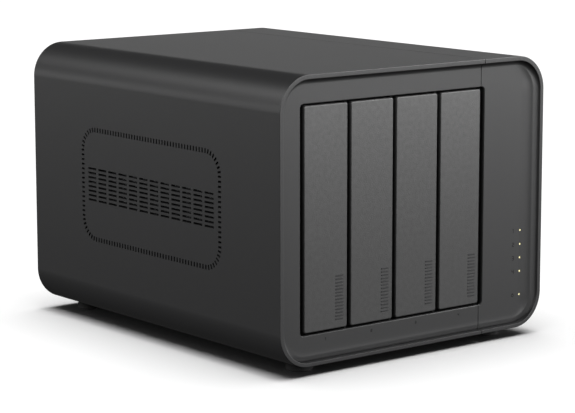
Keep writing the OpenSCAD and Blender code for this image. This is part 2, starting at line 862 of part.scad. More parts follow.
// Strip whose two pins hold the drive; it lifts inside the top beam to free it.
module lock_strip(i) {
    z0 = drive_z1 + beam_gap + web_t + 0.05;
    color(face_grey) translate([bay_left + i * bay_pitch, 0, 0]) {
        block([strip_x0, strip_y0, z0], [strip_x1, strip_y1, z0 + strip_t]);
        for (y = pin_ys) rod_z([pin_x, y, drive_z1 - pin_depth], pin_r, z0 + 0.5 - drive_z1 + pin_depth);
    }
}

left_shell();
right_shell();
rear_panel();
fan_grille();
rubber_feet();
cage_left_wall();
cage_right_wall();
cage_top_plate();
cage_bottom_plate();
upper_bay_guide();
lower_bay_guide();
backplane_board();
sata_connectors();
main_board();
link_socket();
processor();
heat_sink();
memory_socket();
memory_module();
coin_cell();
board_components();
board_headers();
led_board();
status_leds();
led_pipes();
led_ribbon();
network_jacks();
usb_ports();
usb_c_port();
hdmi_port();
power_jack();
power_button();
power_switch();
fan_frame();
fan_stator();
fan_rotor();
fan_cable();
fan_screws();
case_screws();
cage_screws();
board_standoffs();
board_screws();
tray(0);  // tray_1
tray(1);  // tray_2
tray(2);  // tray_3
tray(3);  // tray_4
tray_face(0);  // tray_face_1
tray_face(1);  // tray_face_2
tray_face(2);  // tray_face_3
tray_face(3);  // tray_face_4
tray_latch(0);  // tray_latch_1
tray_latch(1);  // tray_latch_2
tray_latch(2);  // tray_latch_3
tray_latch(3);  // tray_latch_4
lock_strip(0);  // lock_strip_1
lock_strip(1);  // lock_strip_2
lock_strip(2);  // lock_strip_3
lock_strip(3);  // lock_strip_4
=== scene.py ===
import json
import math

import bmesh
import bpy
from mathutils import Matrix, Vector

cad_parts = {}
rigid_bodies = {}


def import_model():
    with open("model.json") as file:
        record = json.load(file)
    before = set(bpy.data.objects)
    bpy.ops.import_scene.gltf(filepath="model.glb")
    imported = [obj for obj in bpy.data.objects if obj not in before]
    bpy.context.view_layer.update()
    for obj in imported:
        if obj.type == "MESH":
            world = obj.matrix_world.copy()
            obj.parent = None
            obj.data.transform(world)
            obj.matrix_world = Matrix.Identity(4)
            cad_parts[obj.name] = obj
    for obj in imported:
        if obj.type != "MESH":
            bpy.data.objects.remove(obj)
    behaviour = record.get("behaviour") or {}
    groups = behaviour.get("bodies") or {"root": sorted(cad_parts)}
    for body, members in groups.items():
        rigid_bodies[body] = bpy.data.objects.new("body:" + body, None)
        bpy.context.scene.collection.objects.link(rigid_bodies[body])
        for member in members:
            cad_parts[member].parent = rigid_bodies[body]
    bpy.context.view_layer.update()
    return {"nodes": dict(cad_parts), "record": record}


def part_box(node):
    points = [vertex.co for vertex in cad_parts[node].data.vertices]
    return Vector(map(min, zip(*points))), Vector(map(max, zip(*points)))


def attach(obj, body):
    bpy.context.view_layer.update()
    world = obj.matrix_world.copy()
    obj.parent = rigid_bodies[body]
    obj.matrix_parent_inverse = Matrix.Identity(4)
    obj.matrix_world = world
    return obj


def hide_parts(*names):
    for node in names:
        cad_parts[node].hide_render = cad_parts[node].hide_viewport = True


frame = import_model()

NODES = frame["nodes"]
MM = 0.001
scene = bpy.context.scene


# ---------------------------------------------------------------- places read from the frame, in millimetres

def node_box(name):
    """The lowest and highest corner of a CAD node."""
    low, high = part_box(name)
    return Vector(low) / MM, Vector(high) / MM


shell_low, _ = node_box("left_shell")
_, shell_high = node_box("right_shell")
seam = node_box("left_shell")[1].x + 0.1    # half of the CAD model's own seam
tray_low, tray_high = node_box("tray_face_1")
last_high = node_box("tray_face_4")[1]
lights_low, lights_high = node_box("led_pipes")
SIDE = shell_high.x
FRONT = shell_low.y
BACK = shell_high.y
BOTTOM = shell_low.z
TOP = shell_high.z
PANEL = tray_low.y
# Radius of the long outer corners, and the thickness of the walls and of the front panel
CORNER = 18.4
WALL = 2.5
PANEL_T = 2.5
OPEN_LOW = Vector((tray_low.x - 2.4, tray_low.z - 1.3))
OPEN_HIGH = Vector((last_high.x + 2.9, tray_high.z + 1.1))
LIGHT_X = (lights_low.x + lights_high.x) / 2
# Heights of the power light and of the four bay lights above it
LIGHT_ZS = (22.1, 34.9, 42.3, 49.6, 57.15)
# Middle height of the side vents
VENT_Z = BOTTOM + 73.5
VENT_L = 124
VENT_H = 60


# ---------------------------------------------------------------- materials

class Nodes:
    """A small helper that adds shader nodes and links them by socket name."""

    def __init__(self, name):
        self.material = bpy.data.materials.new(name)
        self.material.use_nodes = True
        self.tree = self.material.node_tree
        self.shader = self.tree.nodes["Principled BSDF"]

    def add(self, kind, **values):
        node = self.tree.nodes.new(kind)
        for key, value in values.items():
            setattr(node, key, value)
        return node

    def link(self, a, out_name, b, in_name):
        self.tree.links.new(a.outputs[out_name], b.inputs[in_name])

    def place(self, size_mm):
        """Object coordinates, scaled so that one unit of texture is size_mm."""
        coords = self.add("ShaderNodeTexCoord")
        scale = self.add("ShaderNodeMapping")
        sizes = size_mm if isinstance(size_mm, tuple) else (size_mm,) * 3
        scale.inputs["Scale"].default_value = [1 / (s * MM) for s in sizes]
        self.link(coords, "Object", scale, "Vector")
        return scale

    def surface(self, tone, gloss, fine):
        """Links a colour, a roughness and a bump to the shader."""
        self.link(tone, "Result", self.shader, "Base Color")
        self.link(gloss, "Result", self.shader, "Roughness")
        self.link(fine, "Normal", self.shader, "Normal")

    def noise(self, size_mm, detail=3.0, roughness=0.5):
        scale = self.place(size_mm)
        noise = self.add("ShaderNodeTexNoise")
        noise.inputs["Scale"].default_value = 1.0
        noise.inputs["Detail"].default_value = detail
        noise.inputs["Roughness"].default_value = roughness
        self.link(scale, "Vector", noise, "Vector")
        return noise

    def ramp(self, source, out_name, low, high):
        """Maps a 0 to 1 value onto low to high."""
        node = self.add("ShaderNodeMapRange")
        node.inputs["To Min"].default_value = low
        node.inputs["To Max"].default_value = high
        self.link(source, out_name, node, "Value")
        return node

    def mix(self, mask, mask_out, low, high):
        """A colour between low and high by a mask."""
        node = self.add("ShaderNodeMix", data_type="RGBA")
        node.inputs["A"].default_value = (*low, 1)
        node.inputs["B"].default_value = (*high, 1)
        self.link(mask, mask_out, node, "Factor")
        return node

    def bump(self, source, out_name, depth_mm, strength=1.0, before=None):
        node = self.add("ShaderNodeBump")
        node.inputs["Strength"].default_value = strength
        node.inputs["Distance"].default_value = depth_mm * MM
        self.link(source, out_name, node, "Height")
        if before:
            self.link(before, "Normal", node, "Normal")
        return node

    def edge_mask(self, radius_mm, low, high):
        """White where the surface turns sharply, by how far the rounded normal leaves the true one."""
        rounded = self.add("ShaderNodeBevel", samples=4)
        rounded.inputs["Radius"].default_value = radius_mm * MM
        geometry = self.add("ShaderNodeNewGeometry")
        dot = self.add("ShaderNodeVectorMath", operation="DOT_PRODUCT")
        self.link(rounded, "Normal", dot, 0)
        self.link(geometry, "Normal", dot, 1)
        node = self.add("ShaderNodeMapRange")
        node.inputs["From Min"].default_value = low
        node.inputs["From Max"].default_value = high
        node.inputs["To Min"].default_value = 1.0
        node.inputs["To Max"].default_value = 0.0
        self.link(dot, "Value", node, "Value")
        return node

    def paler_up(self, tone, amount, heights):
        """Painted highlight: lightens a colour by up to amount, from the lower to the upper of two heights,
        standing in for the brighter light on a thing's upper part.
        """
        coords = self.add("ShaderNodeTexCoord")
        split = self.add("ShaderNodeSeparateXYZ")
        self.link(coords, "Object", split, "Vector")
        rise = self.add("ShaderNodeMapRange")
        rise.inputs["From Min"].default_value = heights[0] * MM
        rise.inputs["From Max"].default_value = heights[1] * MM
        self.link(split, "Z", rise, "Value")
        curve = self.add("ShaderNodeMath", operation="POWER")
        curve.inputs[1].default_value = 1.8
        self.link(rise, "Result", curve, "Value")
        gain = self.ramp(curve, "Value", 1.0, 1.0 + amount)
        scaled_tone = self.add("ShaderNodeVectorMath", operation="SCALE")
        self.link(tone, "Result", scaled_tone, 0)
        self.link(gain, "Result", scaled_tone, "Scale")
        over = self.add("ShaderNodeMix", data_type="RGBA")
        over.inputs["Factor"].default_value = 1.0
        self.link(scaled_tone, "Vector", over, "B")
        return over


def scaled(colour, factor):
    return tuple(c * factor for c in colour)


def moulded(name, colour, rough, grain_mm, grain_depth, mottle=0.06, specular=0.35, wear=0.25, fade=0.0):
    """Moulded plastic: a fine eroded grain, faint mottling, slightly paler worn edges and, where fade is
    given, a painted highlight that pales the tone towards the top.
    """
    n = Nodes(name)
    grain = n.noise(grain_mm, 2.0, 0.6)
    cloud = n.noise(grain_mm * (4 if fade else 14), 3.0)
    tone = n.mix(cloud, "Fac", scaled(colour, 1 - mottle), scaled(colour, 1 + mottle))
    # fade is the strength of a painted highlight: the tone grows paler from 40 to 140 mm up, standing in for
    # the light that falls brighter on the upper part
    if fade:
        tone = n.paler_up(tone, fade, (40, 140))
    if wear:
        edges = n.edge_mask(0.35, 0.93, 0.995)
        worn = n.add("ShaderNodeMath", operation="MULTIPLY")
        worn.inputs[1].default_value = wear
        n.link(edges, "Result", worn, 0)
        over = n.add("ShaderNodeMix", data_type="RGBA")
        over.inputs["B"].default_value = (*scaled(colour, 1.7), 1)
        n.link(worn, "Value", over, "Factor")
        n.link(tone, "Result", over, "A")
        tone = over
    gloss = n.ramp(grain, "Fac", rough - 0.06, rough + 0.08)
    n.shader.inputs["Specular IOR Level"].default_value = specular
    fine = n.bump(grain, "Fac", grain_depth)
    n.surface(tone, gloss, fine)
    return n.material


def sheet_metal(name, colour, rough, spangle_mm=6.0, metallic=1.0, contrast=0.12):
    """Zinc-plated sheet: a crystalline spangle with slightly different tone and gloss in each flake."""
    n = Nodes(name)
    flakes = n.add("ShaderNodeTexVoronoi")
    n.link(n.place(spangle_mm), "Vector", flakes, "Vector")
    flakes.inputs["Scale"].default_value = 1.0
    grey = n.add("ShaderNodeSeparateColor")
    n.link(flakes, "Color", grey, "Color")
    tone = n.mix(grey, "Red", scaled(colour, 1 - contrast), scaled(colour, 1 + contrast))
    gloss = n.ramp(grey, "Green", rough - 0.08, rough + 0.08)
    n.shader.inputs["Metallic"].default_value = metallic
    scratch = n.noise((0.4, 9.0, 9.0), 3.0)
    fine = n.bump(scratch, "Fac", 0.01, 0.4)
    n.surface(tone, gloss, fine)
    return n.material


def powder_coat(name, colour, rough):
    """Baked powder paint: an orange-peel surface with tiny pits."""
    n = Nodes(name)
    peel = n.noise(0.7, 2.0)
    cloud = n.noise(9.0, 3.0)
    tone = n.mix(cloud, "Fac", scaled(colour, 0.93), scaled(colour, 1.07))
    gloss = n.ramp(peel, "Fac", rough - 0.05, rough + 0.1)
    n.shader.inputs["Specular IOR Level"].default_value = 0.4
    fine = n.bump(peel, "Fac", 0.05, 0.6)
    n.surface(tone, gloss, fine)
    return n.material


def turned_metal(name, colour, rough, line_mm=(0.15, 4.0, 0.15)):
    """Plated or machined metal with fine tool lines and faint tarnish."""
    n = Nodes(name)
    lines = n.noise(line_mm, 2.0)
    cloud = n.noise(3.0, 2.0)
    tone = n.mix(cloud, "Fac", scaled(colour, 0.85), scaled(colour, 1.08))
    gloss = n.ramp(lines, "Fac", rough - 0.05, rough + 0.12)
    n.shader.inputs["Metallic"].default_value = 1.0
    fine = n.bump(lines, "Fac", 0.008, 0.5)
    n.surface(tone, gloss, fine)
    return n.material


def solder_mask(name, colour):
    """Circuit board: glossy solder mask over faint square copper tracks."""
    n = Nodes(name)
    tracks = n.add("ShaderNodeTexBrick")
    n.link(n.place(6.0), "Vector", tracks, "Vector")
    tracks.inputs["Scale"].default_value = 1.0
    tracks.inputs["Mortar Size"].default_value = 0.03
    tracks.inputs["Mortar Smooth"].default_value = 0.2
    fine_tracks = n.noise((0.6, 5.0, 5.0), 1.0)
    edges = n.mix(tracks, "Fac", colour, scaled(colour, 1.9))
    shade = n.mix(fine_tracks, "Fac", (0.75, 0.75, 0.75), (1.2, 1.2, 1.2))
    tone = n.add("ShaderNodeMix", data_type="RGBA", blend_type="MULTIPLY")
    tone.inputs["Factor"].default_value = 1.0
    n.link(edges, "Result", tone, "A")
    n.link(shade, "Result", tone, "B")
    gloss = n.ramp(fine_tracks, "Fac", 0.25, 0.42)
    fine = n.bump(tracks, "Fac", 0.04, 0.5)
    n.surface(tone, gloss, fine)
    return n.material


def glowing(name, colour, strength):
    """Clear light guide with the light of its diode in it, brighter in the middle of the grain."""
    n = Nodes(name)
    cloud = n.noise(0.3, 2.0)
    tone = n.mix(cloud, "Fac", scaled(colour, 0.8), colour)
    n.link(tone, "Result", n.shader, "Emission Color")
    n.shader.inputs["Emission Strength"].default_value = strength
    gloss = n.ramp(cloud, "Fac", 0.2, 0.35)
    fine = n.bump(cloud, "Fac", 0.01, 0.3)
    n.surface(tone, gloss, fine)
    return n.material


def wound_wire(name, colour):
    """Enamelled copper winding: close turns of thin wire."""
    n = Nodes(name)
    turns = n.add("ShaderNodeTexWave", bands_direction="Y")
    n.link(n.place(1.0), "Vector", turns, "Vector")
    turns.inputs["Scale"].default_value = 0.6
    turns.inputs["Distortion"].default_value = 0.6
    tone = n.mix(turns, "Fac", scaled(colour, 0.5), colour)
    gloss = n.ramp(turns, "Fac", 0.4, 0.28)
    n.shader.inputs["Metallic"].default_value = 0.9
    fine = n.bump(turns, "Fac", 0.15)
    n.surface(tone, gloss, fine)
    return n.material


MATERIALS = {
    "case_plastic": moulded("case_plastic", (0.02, 0.02, 0.0205), 0.4, 0.28, 0.012, specular=0.5),
    # The tray faces carry a painted highlight (fade=1.5): their tone is lightened up to 2.5 times towards the
    # top, in place of the brighter light up there
    "face_plastic": moulded("face_plastic", (0.022, 0.022, 0.022), 0.5, 0.6, 0.09, mottle=0.45, specular=0.5,
                            fade=1.5),
    "inner_plastic": moulded("inner_plastic", (0.016, 0.016, 0.017), 0.45, 0.4, 0.03),
    "foot_rubber": moulded("foot_rubber", (0.02, 0.02, 0.02), 0.75, 0.35, 0.05, specular=0.2, wear=0.0),
    "panel_metal": powder_coat("panel_metal", (0.05, 0.05, 0.052), 0.5),
    "grille_metal": powder_coat("grille_metal", (0.03, 0.03, 0.031), 0.45),
    "cage_steel": sheet_metal("cage_steel", (0.3, 0.305, 0.31), 0.5),
    "screw_steel": turned_metal("screw_steel", (0.22, 0.22, 0.225), 0.34),
    "plug_metal": turned_metal("plug_metal", (0.62, 0.62, 0.62), 0.25, (4.0, 0.2, 4.0)),
    "contact_gold": turned_metal("contact_gold", (0.8, 0.6, 0.25), 0.25),
    "circuit_board": solder_mask("circuit_board", (0.012, 0.06, 0.04)),
    "chip_plastic": moulded("chip_plastic", (0.018, 0.018, 0.019), 0.55, 0.3, 0.02, wear=0.0),
    "header_plastic": moulded("header_plastic", (0.6, 0.58, 0.5), 0.45, 0.5, 0.02, wear=0.0),
    "light_guide": glowing("light_guide", (1.0, 0.92, 0.5), 0.09),
    "sink_aluminium": turned_metal("sink_aluminium", (0.7, 0.71, 0.73), 0.35, (0.3, 6.0, 6.0)),
    "standoff_brass": turned_metal("standoff_brass", (0.72, 0.53, 0.25), 0.3),
    "winding_copper": wound_wire("winding_copper", (0.65, 0.32, 0.15)),
    "fan_plastic": moulded("fan_plastic", (0.014, 0.014, 0.015), 0.4, 0.6, 0.02),
    "lead_jacket": moulded("lead_jacket", (0.012, 0.012, 0.012), 0.5, 0.8, 0.02, wear=0.0),
    "header_black": moulded("header_black", (0.012, 0.012, 0.012), 0.5, 0.5, 0.02, wear=0.0),
    # recess_black is painted shade: near-black and almost without gloss, it is given to parts inside the bays
    # so that they read as the shade in there
    "recess_black": moulded("recess_black", (0.005, 0.005, 0.005), 0.6, 0.4, 0.02, specular=0.12, wear=0.0),
    "tongue_blue": moulded("tongue_blue", (0.015, 0.08, 0.32), 0.45, 0.5, 0.02, wear=0.0),
    "print_ink": moulded("print_ink", (0.004, 0.004, 0.004), 0.8, 0.3, 0.005, specular=0.08, wear=0.0),
}
SLOT_OF = {row["node"]: row["material_slot"] for row in frame["record"]["subparts"]}


# ---------------------------------------------------------------- mesh tools, all in millimetres

def object_from(bm, name, material):
    """A new object from a bmesh in millimetres."""
    bmesh.ops.scale(bm, vec=(MM, MM, MM), verts=bm.verts)
    bmesh.ops.recalc_face_normals(bm, faces=bm.faces)
    mesh = bpy.data.meshes.new(name)
    bm.to_mesh(mesh)
    bm.free()
    piece = bpy.data.objects.new(name, mesh)
    scene.collection.objects.link(piece)
    mesh.materials.append(MATERIALS[material])
    return piece


def smooth(piece, angle=32):
    """Smooth shading that stays flat on large faces and sharp at true edges."""
    mesh = piece.data
    mesh.polygons.foreach_set("use_smooth", [True] * len(mesh.polygons))
    mesh.set_sharp_from_angle(angle=math.radians(angle))
    weighted = piece.modifiers.new("weighted", "WEIGHTED_NORMAL")
    weighted.keep_sharp = True
    weighted.weight = 80


def apply_modifiers(piece):
    """Bakes the piece's modifiers into its mesh."""
    graph = bpy.context.evaluated_depsgraph_get()
    mesh = bpy.data.meshes.new_from_object(piece.evaluated_get(graph))
    old = piece.data
    piece.modifiers.clear()
    piece.data = mesh
    bpy.data.meshes.remove(old)


def boolean(piece, cutter, operation):
    """Cuts or intersects piece with cutter, then removes the cutter."""
    step = piece.modifiers.new("cut", "BOOLEAN")
    step.operation = operation
    step.solver = "EXACT"
    step.object = cutter
    apply_modifiers(piece)
    mesh = cutter.data
    bpy.data.objects.remove(cutter)
    bpy.data.meshes.remove(mesh)


def round_corner(centre, radius, start, steps):
    """Points on a quarter circle, with the outward direction of each."""
    points = []
    for i in range(steps + 1):
        a = math.radians(start + 90 * i / steps)
        out = Vector((math.cos(a), math.sin(a)))
        points.append((centre + out * radius, out))
    return points


def round_outline(low, high, radius, steps):
    """A rectangle with round corners, anticlockwise, as (point, outward direction)."""
    points = []
    corners = (
        (Vector((high.x - radius, low.y + radius)), -90),
        (Vector((high.x - radius, high.y - radius)), 0),
        (Vector((low.x + radius, high.y - radius)), 90),
        (Vector((low.x + radius, low.y + radius)), 180),
    )
    for centre, start in corners:
        points += round_corner(centre, radius, start, steps)
    return points


def add_prism(bm, outline, near, far, axis):
    """A closed prism from 2D points, between near and far along an axis (0 for X, 1 for Y, 2 for Z)."""
    def lift(p, t):
        if axis == 0:
            return Vector((t, p[0], p[1]))
        if axis == 1:
            return Vector((p[0], t, p[1]))
        return Vector((p[0], p[1], t))
    ends = [[bm.verts.new(lift(p, t)) for p in outline] for t in (near, far)]
    bm.faces.new(ends[0])
    bm.faces.new(list(reversed(ends[1])))
    for i in range(len(outline)):
        j = (i + 1) % len(outline)
        bm.faces.new((ends[0][j], ends[0][i], ends[1][i], ends[1][j]))


def add_loft(bm, rings, close_start=True, close_end=True):
    """Joins rings of 3D points that all have the same count."""
    rows = [[bm.verts.new(p) for p in ring] for ring in rings]
    for a, b in zip(rows, rows[1:]):
        for i in range(len(a)):
            j = (i + 1) % len(a)
            bm.faces.new((a[i], a[j], b[j], b[i]))
    if close_start:
        bm.faces.new(list(reversed(rows[0])))
    if close_end:
        bm.faces.new(rows[-1])


def rectangle(cx, cy, w, h, turn=0.0):
    """Corner points of a turned rectangle, anticlockwise."""
    c, s = math.cos(math.radians(turn)), math.sin(math.radians(turn))
    corners = ((-w, -h), (w, -h), (w, h), (-w, h))
    return [(cx + (x * c - y * s) / 2, cy + (x * s + y * c) / 2) for x, y in corners]


def add_box(bm, low, high):
    """A box between its lowest and its highest corner."""
    corners = [(low[0], low[1]), (high[0], low[1]), (high[0], high[1]), (low[0], high[1])]
    add_prism(bm, corners, low[2], high[2], 2)


def add_lathe(bm, profile, centre, axis, segments=32):
    """Turns (radius, height) points round an axis through centre."""
    rings = []
    for r, t in profile:
        ring = []
        for i in range(segments):
            a = 2 * math.pi * i / segments
            u, v = r * math.cos(a), r * math.sin(a)
            offset = {"x": (t, u, v), "y": (v, t, u), "z": (u, v, t)}[axis]
            ring.append(Vector(centre) + Vector(offset))
        rings.append(ring)
    add_loft(bm, rings)


# ---------------------------------------------------------------- the two shells

# Radii of the lip's outer and inner front edge
LIP_OUTER = 0.3
LIP_INNER = 0.35
# How much thinner the lip is along the bottom
LIP_THINNER_LOW = 0.65
# Width of the curve from the lip to the panel: at the left and top, at the right, and along the bottom
ROOT_W = 2.3
ROOT_W_RIGHT = 3.5
ROOT_W_LOW = 2.8
# How much deeper than the panel the groove along the bottom is
GROOVE_DROP = 1.1
# How far the panel's edge rises towards the front: at the right, and along the bottom
DISH_STEP = 1.45
LOW_STEP = 0.1
# Inset at which the panel is flat
DISH_END = 14.2
# Depths behind the rim at which the outer wall has a ring of points
WALL_RINGS = (150.0, 80.0, 20.0)
# Distances past the curve at which the panel has a ring of points
PANEL_RINGS = (0.3, 0.7, 1.1, 1.5, 2.0, 2.6, 3.3, 4.1, 5.0, 6.2)
LIP_STEPS = 4
ROOT_STEPS = 9
# How fast the panel's edge flattens out: at the left, how much slower at the right, and its soft start
FADE = 0.8
FADE_RIGHT = 2.0
SOFT_START = 0.6
# Share of the inner edge's radius that is lost along the bottom, and the tiny ledge behind it
LIP_SHARPER_LOW = 0.8
ROOT_LEDGE = 0.02
# Rounding of the rear edge: its radius, and how far its middle lies inside the corner
REAR_ROUND = 0.6
REAR_ROUND_MIDDLE = 0.18
REAR_INNER_CHAMFER = 0.3
INNER_CHAMFER = 0.6
# Half of the seam between the two shells
SEAM_HALF = 0.2


def dish_depth(past, dish, low):
    """Depth of the front panel behind the rim, by the distance past the curve at the rim's root."""
    panel_t = PANEL - FRONT
    step = DISH_STEP * dish + LOW_STEP * low
    fade = FADE + FADE_RIGHT * dish
    soft = past * past / (past + SOFT_START)
    return panel_t - step * math.exp(-soft / fade)


def rim_profile(dish, low):
    """The wall from its rear edge round the front rim to the flat panel, as (inset, depth behind the rim).

    dish is 1 at the right side and low is 1 along the bottom, and both fade out in the corners.
    """
    depth = BACK - FRONT
    points = [(0.0, depth - REAR_ROUND)]
    points += [(0.0, t) for t in WALL_RINGS]
    for i in range(LIP_STEPS + 1):
        a = math.radians(90 * i / LIP_STEPS)
        points.append((LIP_OUTER - LIP_OUTER * math.cos(a), LIP_OUTER - LIP_OUTER * math.sin(a)))
    inner = LIP_INNER * (1 - LIP_SHARPER_LOW * low)
    wall = WALL - LIP_THINNER_LOW * low
    for i in range(LIP_STEPS):
        a = math.radians(90 * i / LIP_STEPS)
        points.append((wall - inner + inner * math.sin(a), inner - inner * math.cos(a)))
    foot_t = dish_depth(0.0, dish, low)
    width = ROOT_W + (ROOT_W_RIGHT - ROOT_W) * dish + (ROOT_W_LOW - ROOT_W) * low
    for i in range(ROOT_STEPS + 1):
        a = math.radians(90 * i / ROOT_STEPS)
        hollow = inner + (foot_t - inner) * math.sin(a)
        groove = foot_t + GROOVE_DROP * (1 - math.sin(a))
        points.append((wall + ROOT_LEDGE + width * (1 - math.cos(a)), hollow + (groove - hollow) * low))
    for past in PANEL_RINGS:
        points.append((wall + width + past, dish_depth(past, dish, low)))
    points.append((DISH_END, PANEL - FRONT))
    return points


def inner_profile():
    """The wall's inside, from the back of the front panel to the rear edge."""
    depth = BACK - FRONT
    panel_back = PANEL - FRONT + PANEL_T
    return [
        (DISH_END, panel_back),
        (WALL + INNER_CHAMFER, panel_back),
        (WALL, panel_back + INNER_CHAMFER),
        (WALL, 100.0),
        (WALL, depth - REAR_INNER_CHAMFER),
        (WALL - REAR_INNER_CHAMFER, depth),
        (REAR_ROUND, depth),
        (REAR_ROUND_MIDDLE, depth - REAR_ROUND_MIDDLE),
    ]


def shell_solid(name):
    """The whole enclosure as one closed cup: walls, rim and front panel."""
    outline = round_outline(Vector((-SIDE, BOTTOM)), Vector((SIDE, TOP)), CORNER, 20)
    split = len(rim_profile(0, 0)) - 1
    rows = split + 1 + len(inner_profile())
    rings = [[] for _ in range(rows)]
    for point, out in outline:
        dish = max(0.0, out.x) ** 2
        low = max(0.0, -out.y) ** 2
        for k, (inset, t) in enumerate(rim_profile(dish, low) + inner_profile()):
            p = point - out * inset
            rings[k].append(Vector((p.x, FRONT + t, p.y)))
    bm = bmesh.new()
    count = len(outline)
    verts = [[bm.verts.new(p) for p in ring] for ring in rings]
    for k in range(rows):
        if k == split:
            continue
        a, b = verts[k], verts[(k + 1) % rows]
        for i in range(count):
            j = (i + 1) % count
            bm.faces.new((a[i], a[j], b[j], b[i]))
    bm.faces.new(verts[split])
    bm.faces.new(list(reversed(verts[split + 1])))
    return object_from(bm, name, "case_plastic")


def opening_cutter():
    """The bay opening: round corners and a small chamfer at the front edge."""
    chamfer = 0.35
    corner = 2.0
    bm = bmesh.new()
    rings = []
    for y, grow in ((PANEL - 3, chamfer), (PANEL - 0.01, chamfer), (PANEL + chamfer, 0.0), (PANEL + 12, 0.0)):
        more = Vector((grow, grow))
        ring = round_outline(OPEN_LOW - more, OPEN_HIGH + more, corner + grow, 6)
        rings.append([Vector((p.x, y, p.y)) for p, _ in ring])
    add_loft(bm, rings)
    return object_from(bm, "opening_cutter", "case_plastic")


# A vent slot's width and, in the ring, its length
SLOT_W = 1.15
SLOT_L = 2.6
ROW_PITCH = 2.45
# Corner radius of the ring
RING_R = 12.0
RING_CORNER_SLOTS = 8
VENT_ROWS = 8
VENT_COLUMNS = 12
# How far the rows stop short of the ring, in all, and the bar between two slots of a row
ROWS_SHORTER = 8
SLOT_BAR = 2


def vent_slots():
    """Outlines of one side's vent slots in Y and Z: a ring of short slots round rows of long ones."""
    slots = []
    run_y = VENT_L / 2 - RING_R
    run_z = VENT_H / 2 - RING_R
    count_y = int(2 * run_y / ROW_PITCH)
    count_z = int(2 * run_z / ROW_PITCH)
    for i in range(count_y + 1):
        y = -run_y + 2 * run_y * i / count_y
        slots += [rectangle(y, VENT_Z + s * VENT_H / 2, SLOT_W, SLOT_L) for s in (-1, 1)]
    for i in range(count_z + 1):
        z = -run_z + 2 * run_z * i / count_z
        slots += [rectangle(s * VENT_L / 2, VENT_Z + z, SLOT_L, SLOT_W) for s in (-1, 1)]
    for i in range(1, RING_CORNER_SLOTS):
        a = math.radians(90 * i / RING_CORNER_SLOTS)
        y = run_y + RING_R * math.cos(a)
        z = run_z + RING_R * math.sin(a)
        lean = math.degrees(a) - 90
        for sy in (-1, 1):
            for sz in (-1, 1):
                slots.append(rectangle(sy * y, VENT_Z + sz * z, SLOT_W, SLOT_L, sy * sz * lean))
    pitch = (VENT_L - ROWS_SHORTER) / VENT_COLUMNS
    for row in range(VENT_ROWS):
        for column in range(VENT_COLUMNS):
            y = (column - (VENT_COLUMNS - 1) / 2) * pitch
            z = VENT_Z + (row - (VENT_ROWS - 1) / 2) * ROW_PITCH
            slots.append(rectangle(y, z, pitch - SLOT_BAR, SLOT_W))
    return slots


def side_cutter(side):
    """Every vent slot of the left side (-1) or right side (1) as one cutter."""
    bm = bmesh.new()
    for slot in vent_slots():
        add_prism(bm, slot, side * (SIDE - WALL - 1), side * (SIDE + 1), 0)
    return object_from(bm, "side_cutter", "case_plastic")


def half_cutter(x0, x1):
    """Keeps what lies between two planes across the width."""
    bm = bmesh.new()
    add_box(bm, (x0, FRONT - 5, BOTTOM - 5), (x1, BACK + 5, TOP + 5))
    return object_from(bm, "half_cutter", "case_plastic")


def light_holes():
    """The holes in the front panel that the light guides stand in."""
    bm = bmesh.new()
    for z in LIGHT_ZS:
        add_lathe(bm, [(0.6, -1), (0.6, PANEL_T + 1)], (LIGHT_X, PANEL, z), "y", 16)
    return object_from(bm, "light_holes", "case_plastic")


def make_shell(name, node, x0, x1, side):
    """One half of the enclosure, with its side's vents."""
    shell = shell_solid(name)
    boolean(shell, opening_cutter(), "DIFFERENCE")
    boolean(shell, half_cutter(x0, x1), "INTERSECT")
    boolean(shell, side_cutter(side), "DIFFERENCE")
    if side > 0:
        boolean(shell, light_holes(), "DIFFERENCE")
    smooth(shell)
    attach(shell, "enclosure")
    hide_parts(node)


make_shell("shell_left_skin", "left_shell", -SIDE - 5, seam - SEAM_HALF, -1)
make_shell("shell_right_skin", "right_shell", seam + SEAM_HALF, SIDE + 5, 1)


# ---------------------------------------------------------------- tray faces

def make_tray_face(number, low, high):
    """A face plate with a soft edge all round."""
    edge = 0.55
    steps = 4
    corner = 1.0
    bm = bmesh.new()
    rings = []
    for i in range(steps + 1):
        a = math.radians(90 * i / steps)
        inset = edge * (1 - math.sin(a))
        y = low.y + edge * (1 - math.cos(a))
        lowest = Vector((low.x + inset, low.z + inset))
        highest = Vector((high.x - inset, high.z - inset))
        rings.append([Vector((p.x, y, p.y)) for p, _ in round_outline(lowest, highest, corner, 5)])
    back = [Vector((p.x, high.y, p.z)) for p in rings[-1]]
    add_loft(bm, rings + [back])
    face = object_from(bm, f"face_plate_{number}", "face_plastic")
    smooth(face)
    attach(face, f"carrier_{number}")
    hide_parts(f"tray_face_{number}")


RIDGES = 14
RIDGE_W = 5.0
RIDGE_H = 0.85
RIDGE_PITCH = 1.7
RIDGE_PROUD = 0.3
RIDGE_SUNK = 0.1
RIDGE_SLOPE = 0.5


def make_grip_ridges(number, low, high):
    """A column of grip ridges near the lower right corner of a tray face."""
    bm = bmesh.new()
    x1 = high.x - 2.6
    z0 = low.z + 4.2
    for k in range(RIDGES):
        x_mid = x1 - RIDGE_W / 2
        z_mid = z0 + k * RIDGE_PITCH + RIDGE_H / 2
        base = rectangle(x_mid, z_mid, RIDGE_W, RIDGE_H)
        crest = rectangle(x_mid, z_mid, RIDGE_W - RIDGE_SLOPE, RIDGE_H - RIDGE_SLOPE)
        sunk = [Vector((x, low.y + RIDGE_SUNK, z)) for x, z in base]
        proud = [Vector((x, low.y - RIDGE_PROUD, z)) for x, z in crest]
        add_loft(bm, [sunk, proud])
    ridges = object_from(bm, f"grip_ridges_{number}", "inner_plastic")
    smooth(ridges)
    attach(ridges, f"carrier_{number}")


for number in range(1, 5):
    face_low, face_high = node_box(f"tray_face_{number}")
    make_tray_face(number, face_low, face_high)
    make_grip_ridges(number, face_low, face_high)


# ---------------------------------------------------------------- printed marks by the lights and bays

